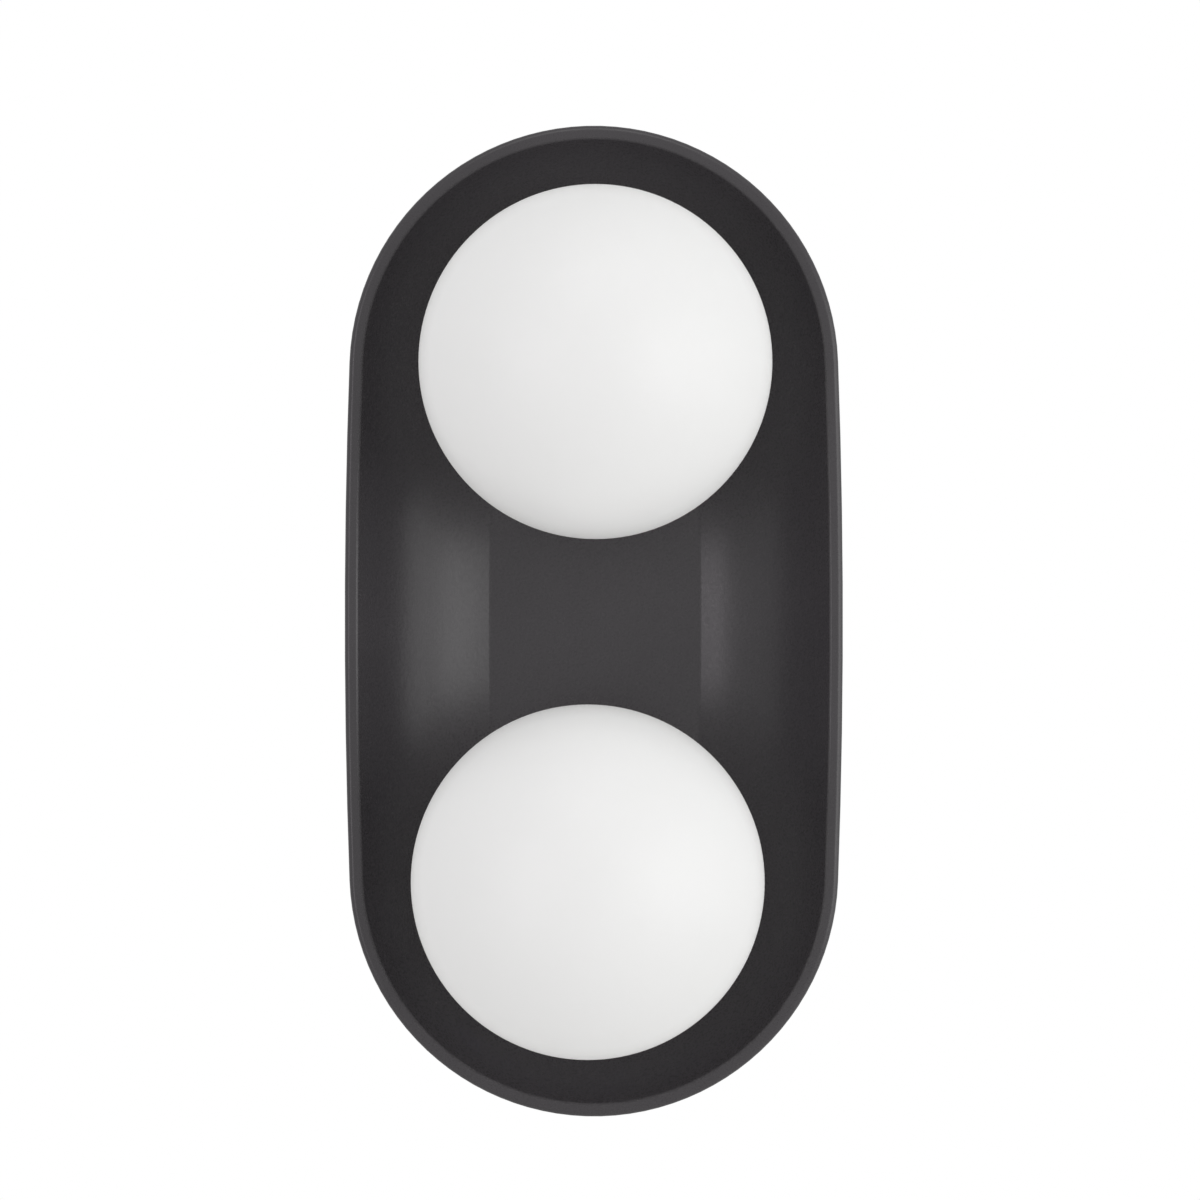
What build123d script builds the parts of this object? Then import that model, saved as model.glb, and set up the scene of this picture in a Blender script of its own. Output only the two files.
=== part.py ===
"""Two-globe wall light: a pressed oval dish with two screw-in opal glass globes, on a shallow rear pan.

All sizes are in millimetres. The wall is the plane Y = 0, the light stands out of it towards -Y, and
+Z is up. A depth is a distance from the wall, so a point at depth d has Y = -d. The origin is the
centre of the wall bracket's rear face.
"""

from build123d import *
from math import asin, atan2, cos, degrees, pi, radians, sin, sqrt, tan
import os

os.makedirs("parts", exist_ok=True)

# ---------------------------------------------------------------- driving dimensions
# Clearances that several fits share
thread_clearance = 0.05
hole_clearance = 0.15
seat_gap = 0.1  # between pieces that move apart and rest on each other

# Dish, pressed from one sheet
dish_width = 175.0
dish_height = 348.0
side_bow = 1.6  # how far the long sides bow out past the end arcs
dish_depth = 38.0  # from the lip's face back to the flat floor
dish_sheet = 1.2
floor_width = 76.0  # flat floor, from crease to crease
floor_run = 6.0  # stretch of the floor that belongs to the turned section
crease_angle = 15.0  # slope of the cove where it leaves the floor
crease_radius = 5.0
lip_width = 4.6
lip_inner_radius = 1.5
lip_outer_radius = 2.0
lip_return = 5.0  # edge turned back towards the wall

# Rear pan
pan_width = 66.0
pan_depth = 20.0  # from the wall to the dish
pan_wall = 1.0
pan_wall_gap = 0.5
pan_corner = 2.5

# Globes
globe_diameter = 120.0
globe_wall = 2.5
globe_standoff = 32.0  # globe's centre in front of the lip's face
neck_radius = 19.8
neck_fillet = 1.0
ridge_height = 0.5
ridge_width = 1.2
thread_pitch = 4.0

# Cups that the globes' necks screw into
cup_wall = 3.4
cup_height = 12.0
cup_floor = 2.0
cup_clearance = 0.3  # around the neck's ridges
cup_edge = 0.6
neck_floor_gap = 2.0
seal_inset = 0.6  # seal ring's inside, out from the cup's bore
seal_clearance = 0.25  # under the globe

# Hollow nipples that clamp cup, dish and pan together
nipple_radius = 5.0
nipple_wall = 1.5
nipple_tail = 2.0  # thread showing past the nut
nipple_nose = 2.0  # thread in the holder plate's collar
nipple_nut_flats = 14.0
nipple_nut_thickness = 4.0
nipple_washer_radius = 8.0
washer_thickness = 0.8
washer_notches = 12

# Lampholders
holder_radius = 13.0
holder_plate = 1.2
holder_collar_wall = 1.3
holder_base = 8.0
holder_block_x = 19.0
holder_block_z = 12.0
holder_block_corner = 3.0
holder_height = 18.8
holder_cavity = 6.0
holder_screw_offset = 10.0
holder_screw_radius = 1.5
holder_screw_head = 2.3
holder_screw_head_height = 1.8
pin_spacing = 9.0
pin_clearance = 0.05
leaf_clearance = 0.3
slot_end_gap = 0.5
cavity_margin = 0.2
contact_sheet = 0.4
contact_width = 3.6
contact_foot = 4.0
contact_length = 11.0

# Lamps that plug into the holders
pin_wire_radius = 0.45
pin_loop_width = 3.2
pin_length = 7.5
pin_root = 3.0  # held in the foot
foot_x = 15.0
foot_z = 9.6
foot_corner = 3.0
foot_height = 5.0
foot_gap = 0.3
collar_height = 7.0
bulb_radius = 8.0
bulb_cover_height = 36.0
bulb_cover_wall = 1.0
edge_break = 0.6
board_width = 7.0
board_thickness = 1.0
board_height = 27.0
chip_size = 2.6
chip_thickness = 0.6
chip_rows = 6

# Wall bracket
bracket_sheet = 2.0
strap_width = 24.0
strap_length = 190.0
strap_corner = 4.0
wall_slot_spacing = 120.0
wall_slot_length = 20.0
wall_slot_width = 4.6
arm_width = 16.0
ear_gap = 1.5  # from an ear to the pan's inside
ear_depth = 13.0
ear_bend = 1.5
ear_corner = 3.0
cable_hole_z = -34.0
cable_hole_radius = 7.0
bush_wall = 1.9
bush_flange = 1.2
bush_flange_width = 2.6
bush_rear_gap = 0.3
boss_z = 34.0
boss_wall = 1.6
boss_height = 2.0

# M4 screws and their nuts
m4_radius = 2.0
m4_head_radius = 3.9
m4_head_height = 2.6
m4_washer_radius = 4.5
m4_nut_flats = 7.0
m4_nut_thickness = 3.2
drive_slot_width = 0.9
drive_slot_depth = 1.1

# Lock screws, through the pan's sides into the bracket's ears
lock_depth = 8.0
lock_length = 9.0
lock_head_radius = 5.0
lock_head_length = 5.0
lock_head_edge = 0.6
lock_slot_clearance = 0.3
ear_nut_wall = 1.45
ear_nut_length = 3.0
ear_nut_pilot_wall = 0.7
ear_nut_pilot_length = 1.4

# Terminal block
block_length = 28.0
block_width = 17.0
block_slab = 8.0
block_corner = 1.5
pole_pitch = 10.0
tower_radius = 3.0
tower_height = 4.5
tower_spacing = 8.4
insert_radius = 2.6
insert_wall = 0.7
insert_length = 15.0
terminal_screw_radius = 1.6
terminal_screw_sink = 1.2
m3_radius = 1.5
m3_nut_flats = 5.5
m3_nut_thickness = 2.4
stud_tail = 1.0

# Earth stud and its tag
earth_stud_x = -9.0
earth_stud_z = 34.0
tag_sheet = 0.8
tag_radius = 4.2
tag_barrel_radius = 1.5
tag_barrel_length = 8.0
tag_barrel_gap = 0.3  # to the pan

# Inner wires
wire_radius = 0.8
wire_pair = 1.2  # half the spacing of a lamp's two wires
wire_lane = 20.0  # sideways place of a lamp's wires along the pan
wire_end_x = 2.5
clip_length = 6.0
clip_wall = 1.6
clip_floor = 1.7

# ---------------------------------------------------------------- worked-out places
floor_face = pan_depth + dish_sheet
lip_face = floor_face + dish_depth
globe_centre = lip_face + globe_standoff
globe_radius = globe_diameter / 2

end_radius = dish_width / 2 - side_bow
end_centre = dish_height / 2 - end_radius  # height of each end arc's centre, and of each globe
side_radius = (end_centre**2 + (dish_width / 2) ** 2 - end_radius**2) / (2 * side_bow)
side_centre = dish_width / 2 - side_radius
join_angle = degrees(asin(end_centre / (side_radius - end_radius)))
crease_inset = (dish_width - floor_width) / 2
pan_inset = (dish_width - pan_width) / 2
pan_inside = pan_depth - pan_wall

cup_bore = neck_radius + ridge_height + cup_clearance
cup_radius = cup_bore + cup_wall
cup_floor_face = floor_face + cup_floor
cup_rim = floor_face + cup_height
neck_end = cup_floor_face + neck_floor_gap

nipple_hole = nipple_radius + hole_clearance
nipple_bore = nipple_radius - nipple_wall
washer_face = pan_inside - washer_thickness
nut_face = washer_face - nipple_nut_thickness
nipple_back = nut_face - nipple_tail
holder_back = cup_floor_face + holder_plate
nipple_front = holder_back + nipple_nose

holder_front = holder_back + holder_height
base_front = holder_back + holder_base
cavity_front = holder_back + holder_cavity
collar_radius = nipple_radius + holder_collar_wall
leaf_gap = pin_wire_radius + pin_clearance
slot_z = 2 * (leaf_gap + contact_sheet + leaf_clearance)
slot_x = contact_width + 2 * slot_end_gap
cavity_radius = pin_spacing / 2 + slot_x / 2 + cavity_margin

foot_back = holder_front + foot_gap
foot_front = foot_back + foot_height
collar_front = foot_front + collar_height

ear_outside = pan_width / 2 - pan_wall - ear_gap
ear_inside = ear_outside - bracket_sheet
lock_washer_in = pan_width / 2 + seat_gap
lock_head_in = lock_washer_in + washer_thickness + thread_clearance
boss_face = bracket_sheet + boss_height
bush_bore = cable_hole_radius - thread_clearance - bush_wall

block_face = pan_inside - block_slab
tower_face = block_face - tower_height
pole_depth = pan_inside - block_slab / 2
insert_bore = insert_radius - insert_wall
POLES = (-pole_pitch, 0, pole_pitch)
TOWERS = [(side * tower_spacing / 2, z) for z in POLES for side in (-1, 1)]

tag_back = pan_inside - washer_thickness
tag_face = tag_back - tag_sheet
tag_barrel_depth = pan_inside - tag_barrel_radius - tag_barrel_gap
lane_depth = pan_inside - wire_radius - clip_floor

LAMPS = {"upper": end_centre, "lower": -end_centre}
SIDES = {"left": -1, "right": 1}


# ---------------------------------------------------------------- helpers
def wall_plane(depth):
    """Plane parallel to the wall: its x is X, its y is Z, and it extrudes away from the wall."""
    return Plane.XZ.offset(depth)


def turning_plane(z):
    """Plane square to the wall at this height: its x is X or a radius, and its y is the depth."""
    return Plane(origin=(0, 0, z), x_dir=(1, 0, 0), z_dir=(0, 0, -1))


def lamp_axis(z):
    """The line, square to the wall, that a lamp's turned pieces share."""
    return Axis((0, 0, z), (0, -1, 0))


def side_plane(x, side):
    """Plane facing sideways out of the light: its x is the depth, and its y is Z up or down."""
    return Plane(origin=(side * x, 0, 0), x_dir=(0, -1, 0), z_dir=(side, 0, 0))


def oval(inset):
    """Four tangent arcs: the dish's outline, inset from its outer edge."""
    for start in (0, 180):
        end_z = end_centre * cos(radians(start))
        CenterArc((0, end_z), end_radius - inset, start + join_angle, 180 - 2 * join_angle)
        side_x = side_centre * cos(radians(start))
        CenterArc((side_x, 0), side_radius - inset, start - join_angle, 2 * join_angle)


def band(inner, outer, back, front):
    """Rectangle on a turning plane, from one radius to another and from one depth to another."""
    with Locations(((inner + outer) / 2, (back + front) / 2)):
        Rectangle(outer - inner, front - back)


def hexagon(flats):
    """Hexagon of a nut, by its width across flats."""
    RegularPolygon(radius=flats / 2, side_count=6, major_radius=False)


def bend_radii(points):
    """A wire's bend radii: 0.45 of the shorter run beside each bend, over the tangent of half its turn."""
    radii = []
    for before, here, after in zip(points, points[1:], points[2:]):
        run_in = Vector(*here) - Vector(*before)
        run_out = Vector(*after) - Vector(*here)
        half_turn = radians(run_in.get_angle(run_out)) / 2
        radii.append(0.45 * min(run_in.length, run_out.length) / tan(half_turn))
    return radii


def write(piece, name):
    """Labels one finished piece and writes its STEP file."""
    piece.part.label = name
    export_step(piece.part, f"parts/{name}.step")


# ---------------------------------------------------------------- reflector dish
# The cove and lip are one section, turned about each of the outline's four arc centres.
ARCS = (
    (0, end_centre, end_radius, join_angle, 180 - 2 * join_angle),
    (0, -end_centre, end_radius, 180 + join_angle, 180 - 2 * join_angle),
    (side_centre, 0, side_radius, -join_angle, 2 * join_angle),
    (-side_centre, 0, side_radius, 180 - join_angle, 2 * join_angle),
)
with BuildPart() as reflector_dish:
    with BuildSketch(wall_plane(pan_depth)):
        with BuildLine():
            oval(crease_inset + floor_run / 2)
        make_face()
    extrude(amount=dish_sheet)
    for centre_x, centre_z, radius, start, turn in ARCS:
        across = Vector(cos(radians(start)), 0, sin(radians(start)))
        section = Plane(origin=(centre_x, 0, centre_z), x_dir=across, z_dir=(across.Z, 0, -across.X))
        crease = (radius - crease_inset, floor_face)
        lip_start = (radius - lip_width, lip_face)
        lip_end = (radius, lip_face)
        with BuildSketch(section):
            with BuildLine() as face_line:
                Line((crease[0] - floor_run, floor_face), crease)
                slope = (cos(radians(crease_angle)), sin(radians(crease_angle)))
                TangentArc(crease, lip_start, tangent=slope)
                Polyline(lip_start, lip_end, (radius, lip_face - lip_return))
                for corner, corner_radius in (
                    (crease, crease_radius),
                    (lip_start, lip_inner_radius),
                    (lip_end, lip_outer_radius),
                ):
                    fillet(face_line.vertices().sort_by_distance(corner)[0], corner_radius)
                offset(amount=dish_sheet, side=Side.RIGHT)
            make_face()
        revolve(axis=Axis((centre_x, 0, centre_z), (0, -1, 0)), revolution_arc=turn)
    with BuildSketch(wall_plane(pan_depth)):
        with Locations(*[(0, z) for z in LAMPS.values()]):
            Circle(nipple_hole)
    extrude(amount=dish_sheet, mode=Mode.SUBTRACT)
write(reflector_dish, "reflector_dish")

# ---------------------------------------------------------------- rear pan
with BuildPart() as rear_pan:
    with BuildSketch(wall_plane(pan_wall_gap)):
        with BuildLine():
            oval(pan_inset)
        make_face()
    extrude(amount=pan_depth - pan_wall_gap)
    fillet(rear_pan.faces().sort_by(Axis.Y)[0].edges(), pan_corner)
    with BuildSketch(wall_plane(pan_wall_gap)):
        with BuildLine():
            oval(pan_inset + pan_wall)
        make_face()
    extrude(amount=pan_inside - pan_wall_gap, mode=Mode.SUBTRACT)
    inner_face = rear_pan.faces().filter_by(Plane.XZ).sort_by(Axis.Y)[1]
    fillet(inner_face.edges(), pan_corner - pan_wall)
    with BuildSketch(wall_plane(pan_inside)):
        with Locations(*[(0, z) for z in LAMPS.values()]):
            Circle(nipple_hole)
    extrude(amount=pan_wall, mode=Mode.SUBTRACT)
    # Both sides are slotted from the rear edge, so that the pan slides on over the lock screws.
    with BuildSketch(side_plane(0, 1)):
        with Locations((lock_depth, 0)):
            Circle(m4_radius + lock_slot_clearance)
        with Locations((lock_depth / 2, 0)):
            Rectangle(lock_depth, 2 * (m4_radius + lock_slot_clearance))
    extrude(amount=pan_width, both=True, mode=Mode.SUBTRACT)
write(rear_pan, "rear_pan")

# ---------------------------------------------------------------- wall bracket and what it carries
with BuildPart() as wall_bracket:
    with BuildSketch(turning_plane(0)):
        with BuildLine():
            FilletPolyline(
                (-ear_outside, ear_depth),
                (-ear_outside, 0),
                (ear_outside, 0),
                (ear_outside, ear_depth),
                radius=ear_bend + bracket_sheet,
            )
            offset(amount=bracket_sheet, side=Side.LEFT)
        make_face()
    extrude(amount=arm_width / 2, both=True)
    fillet(wall_bracket.edges().filter_by(Axis.X).group_by(Axis.Y)[0], ear_corner)
    with BuildSketch(side_plane(0, 1)):
        with Locations((lock_depth, 0)):
            Circle(m4_radius + thread_clearance + ear_nut_pilot_wall + thread_clearance)
    extrude(amount=pan_width, both=True, mode=Mode.SUBTRACT)
    with BuildSketch(wall_plane(0)):
        RectangleRounded(strap_width, strap_length, strap_corner)
    extrude(amount=bracket_sheet)
    with BuildSketch(wall_plane(0)):
        with Locations((0, boss_z)):
            Circle(m4_radius + boss_wall)
    extrude(amount=boss_face)
    with BuildSketch(wall_plane(0)):
        with Locations((0, wall_slot_spacing / 2), (0, -wall_slot_spacing / 2)):
            SlotOverall(wall_slot_length, wall_slot_width, rotation=90)
        with Locations((0, cable_hole_z)):
            Circle(cable_hole_radius)
        with Locations((0, boss_z)):
            Circle(m4_radius + thread_clearance)
    extrude(amount=boss_face, mode=Mode.SUBTRACT)
write(wall_bracket, "wall_bracket")

# Clinch nuts on the inside of the ears
with BuildPart() as ear_nuts:
    for side in SIDES.values():
        with BuildSketch(side_plane(ear_inside - ear_nut_length, side)):
            with Locations((lock_depth, 0)):
                Circle(m4_radius + ear_nut_wall)
        extrude(amount=ear_nut_length)
        with BuildSketch(side_plane(ear_inside, side)):
            with Locations((lock_depth, 0)):
                Circle(m4_radius + thread_clearance + ear_nut_pilot_wall)
        extrude(amount=ear_nut_pilot_length)
    with BuildSketch(side_plane(0, 1)):
        with Locations((lock_depth, 0)):
            Circle(m4_radius + thread_clearance)
    extrude(amount=pan_width, both=True, mode=Mode.SUBTRACT)
write(ear_nuts, "ear_nuts")

with BuildPart() as bracket_earth_washer:
    with BuildSketch(wall_plane(boss_face)):
        with Locations((0, boss_z)):
            Circle(m4_washer_radius)
            Circle(m4_radius + hole_clearance, mode=Mode.SUBTRACT)
    extrude(amount=washer_thickness)
write(bracket_earth_washer, "bracket_earth_washer")

earth_head_back = boss_face + washer_thickness
with BuildPart() as bracket_earth_screw:
    with BuildSketch(turning_plane(boss_z)):
        band(0, m4_radius, seat_gap, earth_head_back)
        band(0, m4_head_radius, earth_head_back, earth_head_back + m4_head_height)
    revolve(axis=lamp_axis(boss_z))
    fillet(bracket_earth_screw.faces().sort_by(Axis.Y)[0].edges(), m4_head_height / 3)
    with BuildSketch(wall_plane(earth_head_back + m4_head_height - drive_slot_depth)):
        with Locations((0, boss_z)):
            Rectangle(2 * m4_head_radius, drive_slot_width)
    extrude(amount=drive_slot_depth, mode=Mode.SUBTRACT)
write(bracket_earth_screw, "bracket_earth_screw")

with BuildPart() as cable_bush:
    with BuildSketch(turning_plane(cable_hole_z)):
        band(bush_bore, cable_hole_radius - thread_clearance, bush_rear_gap, bracket_sheet)
        band(bush_bore, cable_hole_radius + bush_flange_width, bracket_sheet, bracket_sheet + bush_flange)
    revolve(axis=lamp_axis(cable_hole_z))
write(cable_bush, "cable_bush")

# ---------------------------------------------------------------- lock screws and their washers
for name, side in SIDES.items():
    with BuildPart() as screw_washer:
        with BuildSketch(side_plane(lock_washer_in, side)):
            with Locations((lock_depth, 0)):
                Circle(lock_head_radius)
                Circle(m4_radius + hole_clearance, mode=Mode.SUBTRACT)
        extrude(amount=washer_thickness)
    write(screw_washer, f"{name}_screw_washer")

    with BuildPart() as lock_screw:
        with BuildSketch(side_plane(lock_head_in, side)):
            with Locations((lock_depth, 0)):
                Circle(lock_head_radius)
        extrude(amount=lock_head_length)
        outer_rim = lock_screw.edges().filter_by(GeomType.CIRCLE).sort_by(Axis.X)[-1 if side > 0 else 0]
        chamfer(outer_rim, lock_head_edge)
        with BuildSketch(side_plane(lock_head_in - lock_length, side)):
            with Locations((lock_depth, 0)):
                Circle(m4_radius)
        extrude(amount=lock_length)
        with BuildSketch(side_plane(lock_head_in + lock_head_length - drive_slot_depth, side)):
            with Locations((lock_depth, 0)):
                Rectangle(drive_slot_width, 2 * lock_head_radius)
        extrude(amount=drive_slot_depth, mode=Mode.SUBTRACT)
    write(lock_screw, f"{name}_lock_screw")

# ---------------------------------------------------------------- one lamp: cup to globe
for name, z in LAMPS.items():
    with BuildPart() as cup:
        with BuildSketch(turning_plane(z)):
            band(nipple_hole, cup_radius, floor_face, cup_floor_face)
            band(cup_bore, cup_radius, cup_floor_face, cup_rim)
        revolve(axis=lamp_axis(z))
        chamfer(cup.faces().sort_by(Axis.Y)[0].edges(), cup_edge)
    write(cup, f"{name}_cup")

    with BuildPart() as nipple:
        with BuildSketch(turning_plane(z)):
            band(nipple_bore, nipple_radius, nipple_back, nipple_front)
        revolve(axis=lamp_axis(z))
        for end in (0, -1):
            chamfer(nipple.faces().sort_by(Axis.Y)[end].edges().sort_by(SortBy.RADIUS)[-1], nipple_wall / 4)
    write(nipple, f"{name}_nipple")

    with BuildPart() as lock_washer:
        with BuildSketch(wall_plane(washer_face)):
            with Locations((0, z)):
                Circle(nipple_washer_radius)
                Circle(nipple_hole, mode=Mode.SUBTRACT)
                with PolarLocations(nipple_washer_radius, washer_notches):
                    Rectangle(2 * washer_thickness, washer_thickness, mode=Mode.SUBTRACT)
        extrude(amount=washer_thickness)
    write(lock_washer, f"{name}_lock_washer")

    with BuildPart() as lock_nut:
        with BuildSketch(wall_plane(nut_face)):
            with Locations((0, z)):
                hexagon(nipple_nut_flats)
                Circle(nipple_radius + thread_clearance, mode=Mode.SUBTRACT)
        extrude(amount=nipple_nut_thickness)
    write(lock_nut, f"{name}_lock_nut")

    screw_places = [(0, z + side * holder_screw_offset) for side in (-1, 1)]
    with BuildPart() as holder_plate_part:
        with BuildSketch(wall_plane(cup_floor_face)):
            with Locations((0, z)):
                Circle(holder_radius)
            with Locations(*screw_places):
                Circle(holder_screw_radius + thread_clearance, mode=Mode.SUBTRACT)
        extrude(amount=holder_plate)
        with BuildSketch(wall_plane(holder_back)):
            with Locations((0, z)):
                Circle(collar_radius)
        extrude(amount=nipple_nose)
        with BuildSketch(wall_plane(cup_floor_face)):
            with Locations((0, z)):
                Circle(nipple_radius + thread_clearance)
        extrude(amount=holder_plate + nipple_nose, mode=Mode.SUBTRACT)
    write(holder_plate_part, f"{name}_holder_plate")

    with BuildPart() as lampholder:
        with BuildSketch(wall_plane(holder_back)):
            with Locations((0, z)):
                Circle(holder_radius)
        extrude(amount=holder_base)
        with BuildSketch(wall_plane(base_front)):
            with Locations((0, z)):
                RectangleRounded(holder_block_x, holder_block_z, holder_block_corner)
        extrude(amount=holder_height - holder_base)
        chamfer(lampholder.faces().sort_by(Axis.Y)[0].edges(), edge_break)
        with BuildSketch(wall_plane(holder_back)):
            with Locations((0, z)):
                Circle(cavity_radius)
        extrude(amount=holder_cavity, mode=Mode.SUBTRACT)
        with BuildSketch(wall_plane(cavity_front)):
            with Locations((-pin_spacing / 2, z), (pin_spacing / 2, z)):
                Rectangle(slot_x, slot_z)
        extrude(amount=holder_height, mode=Mode.SUBTRACT)
        with BuildSketch(wall_plane(holder_back)):
            with Locations(*screw_places):
                Circle(holder_screw_radius + hole_clearance)
        extrude(amount=holder_base, mode=Mode.SUBTRACT)
    write(lampholder, f"{name}_lampholder")

    with BuildPart() as holder_screws:
        with BuildSketch(wall_plane(cup_floor_face + seat_gap)):
            with Locations(*screw_places):
                Circle(holder_screw_radius)
        extrude(amount=base_front - cup_floor_face - seat_gap)
        with BuildSketch(wall_plane(base_front)):
            with Locations(*screw_places):
                Circle(holder_screw_head)
        extrude(amount=holder_screw_head_height)
        with BuildSketch(wall_plane(base_front + holder_screw_head_height - drive_slot_depth)):
            with Locations(*screw_places):
                Rectangle(2 * holder_screw_head, drive_slot_width)
        extrude(amount=drive_slot_depth, mode=Mode.SUBTRACT)
    write(holder_screws, f"{name}_holder_screws")

    # Each contact is a foot under the ceramic and two leaves that grip a pin between them.
    with BuildPart() as contacts:
        with BuildSketch(wall_plane(cavity_front - contact_sheet)):
            with Locations((-pin_spacing / 2, z), (pin_spacing / 2, z)):
                Rectangle(contact_width, contact_foot)
        extrude(amount=contact_sheet)
        with BuildSketch(wall_plane(cavity_front)):
            with Locations((-pin_spacing / 2, z), (pin_spacing / 2, z)):
                Rectangle(contact_width, 2 * (leaf_gap + contact_sheet))
                Rectangle(contact_width, 2 * leaf_gap, mode=Mode.SUBTRACT)
        extrude(amount=contact_length)
    write(contacts, f"{name}_contacts")

    with BuildPart() as bulb_base:
        with BuildSketch(wall_plane(foot_back)):
            with Locations((0, z)):
                RectangleRounded(foot_x, foot_z, foot_corner)
        extrude(amount=foot_height)
        with BuildSketch(wall_plane(foot_front)):
            with Locations((0, z)):
                Circle(bulb_radius)
        extrude(amount=collar_height)
        chamfer(bulb_base.faces().sort_by(Axis.Y)[0].edges(), edge_break)
        with BuildSketch(wall_plane(foot_back)):
            for pin_x in (-pin_spacing / 2, pin_spacing / 2):
                for leg in (-1, 1):
                    with Locations((pin_x + leg * (pin_loop_width / 2 - pin_wire_radius), z)):
                        Circle(pin_wire_radius + thread_clearance)
        extrude(amount=pin_root, mode=Mode.SUBTRACT)
    write(bulb_base, f"{name}_bulb_base")

    loop_radius = pin_loop_width / 2 - pin_wire_radius
    with BuildPart() as bulb_pins:
        for pin_x in (-pin_spacing / 2, pin_spacing / 2):
            with BuildLine(turning_plane(z)) as loop:
                root = foot_back + pin_root
                bend = foot_back - pin_length + pin_wire_radius + loop_radius
                Line((pin_x - loop_radius, root), (pin_x - loop_radius, bend))
                ThreePointArc(
                    (pin_x - loop_radius, bend),
                    (pin_x, bend - loop_radius),
                    (pin_x + loop_radius, bend),
                )
                Line((pin_x + loop_radius, bend), (pin_x + loop_radius, root))
            with BuildSketch(Plane(origin=loop.line @ 0, z_dir=loop.line % 0)):
                Circle(pin_wire_radius)
            sweep(path=loop.line)
    write(bulb_pins, f"{name}_bulb_pins")

    with BuildPart() as bulb_cover:
        dome_back = collar_front + bulb_cover_height - bulb_radius
        with BuildSketch(turning_plane(z)):
            with BuildLine():
                Line((bulb_radius, collar_front), (bulb_radius, dome_back))
                CenterArc((0, dome_back), bulb_radius, 0, 90)
                offset(amount=bulb_cover_wall, side=Side.LEFT)
            make_face()
        revolve(axis=lamp_axis(z))
    write(bulb_cover, f"{name}_bulb_cover")

    with BuildPart() as led_board:
        with BuildSketch(wall_plane(collar_front)):
            with Locations((0, z)):
                Rectangle(board_width, board_thickness)
        extrude(amount=board_height)
    write(led_board, f"{name}_led_board")

    with BuildPart() as led_chips:
        for row in range(chip_rows):
            chip_depth = collar_front + (row + 0.5) * board_height / chip_rows
            for face in (-1, 1):
                place = (0, -chip_depth, z + face * (board_thickness + chip_thickness) / 2)
                with Locations(place):
                    Box(chip_size, chip_size, chip_thickness)
    write(led_chips, f"{name}_led_chips")

    with BuildPart() as seal:
        seal_inner = cup_bore + seal_inset
        seal_back = cup_rim + seat_gap
        with BuildSketch(turning_plane(z)):
            with BuildLine():
                Polyline(
                    (seal_inner, seal_back),
                    (cup_radius, seal_back),
                    (cup_radius, globe_centre - sqrt(globe_radius**2 - cup_radius**2) - seal_clearance),
                    (seal_inner, globe_centre - sqrt(globe_radius**2 - seal_inner**2) - seal_clearance),
                    close=True,
                )
            make_face()
        revolve(axis=lamp_axis(z))
    write(seal, f"{name}_seal")

    with BuildPart() as globe:
        neck_joint = globe_centre - sqrt(globe_radius**2 - neck_radius**2)
        joint_angle = degrees(atan2(neck_joint - globe_centre, neck_radius))
        with BuildSketch(turning_plane(z)):
            with BuildLine() as outside:
                Line((neck_radius, neck_end), (neck_radius, neck_joint))
                CenterArc((0, globe_centre), globe_radius, joint_angle, 90 - joint_angle)
                joint_point = outside.vertices().sort_by_distance((neck_radius, neck_joint))[0]
                fillet(joint_point, neck_fillet)
                offset(amount=globe_wall, side=Side.LEFT)
            make_face()
            for turns in (0.5, 1.5):
                ridge = neck_end + turns * thread_pitch
                band(neck_radius - globe_wall / 2, neck_radius + ridge_height, ridge, ridge + ridge_width)
        revolve(axis=lamp_axis(z))
    write(globe, f"{name}_globe")

# ---------------------------------------------------------------- terminal block on its stud
with BuildPart() as terminal_block:
    with BuildSketch(wall_plane(block_face)):
        RectangleRounded(block_width, block_length, block_corner)
    extrude(amount=block_slab)
    with BuildSketch(wall_plane(tower_face)):
        with Locations(*TOWERS):
            Circle(tower_radius)
    extrude(amount=tower_height)
    with BuildSketch(side_plane(0, 1)):
        with Locations(*[(pole_depth, z) for z in POLES]):
            Circle(insert_radius + thread_clearance)
    extrude(amount=block_width, both=True, mode=Mode.SUBTRACT)
    with BuildSketch(wall_plane(tower_face)):
        with Locations(*TOWERS):
            Circle(terminal_screw_radius + hole_clearance)
    extrude(amount=pole_depth - tower_face, mode=Mode.SUBTRACT)
    with BuildSketch(wall_plane(block_face)):
        with Locations((0, pole_pitch / 2)):
            Circle(m3_radius + hole_clearance)
    extrude(amount=block_slab, mode=Mode.SUBTRACT)
write(terminal_block, "terminal_block")

with BuildPart() as terminal_inserts:
    with BuildSketch(Plane.YZ):
        with Locations(*[(-pole_depth, z) for z in POLES]):
            Circle(insert_radius)
            Circle(insert_bore, mode=Mode.SUBTRACT)
    extrude(amount=insert_length / 2, both=True)
    with BuildSketch(wall_plane(tower_face)):
        with Locations(*TOWERS):
            Circle(terminal_screw_radius + thread_clearance)
    extrude(amount=pole_depth - tower_face, mode=Mode.SUBTRACT)
write(terminal_inserts, "terminal_inserts")

screw_tip = pole_depth - wire_radius - seat_gap
with BuildPart() as terminal_screws:
    with BuildSketch(wall_plane(tower_face + terminal_screw_sink)):
        with Locations(*TOWERS):
            Circle(terminal_screw_radius)
    extrude(amount=screw_tip - tower_face - terminal_screw_sink)
    with BuildSketch(wall_plane(tower_face + terminal_screw_sink)):
        with Locations(*TOWERS):
            Rectangle(2 * terminal_screw_radius, drive_slot_width)
    extrude(amount=drive_slot_depth, mode=Mode.SUBTRACT)
write(terminal_screws, "terminal_screws")

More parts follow.
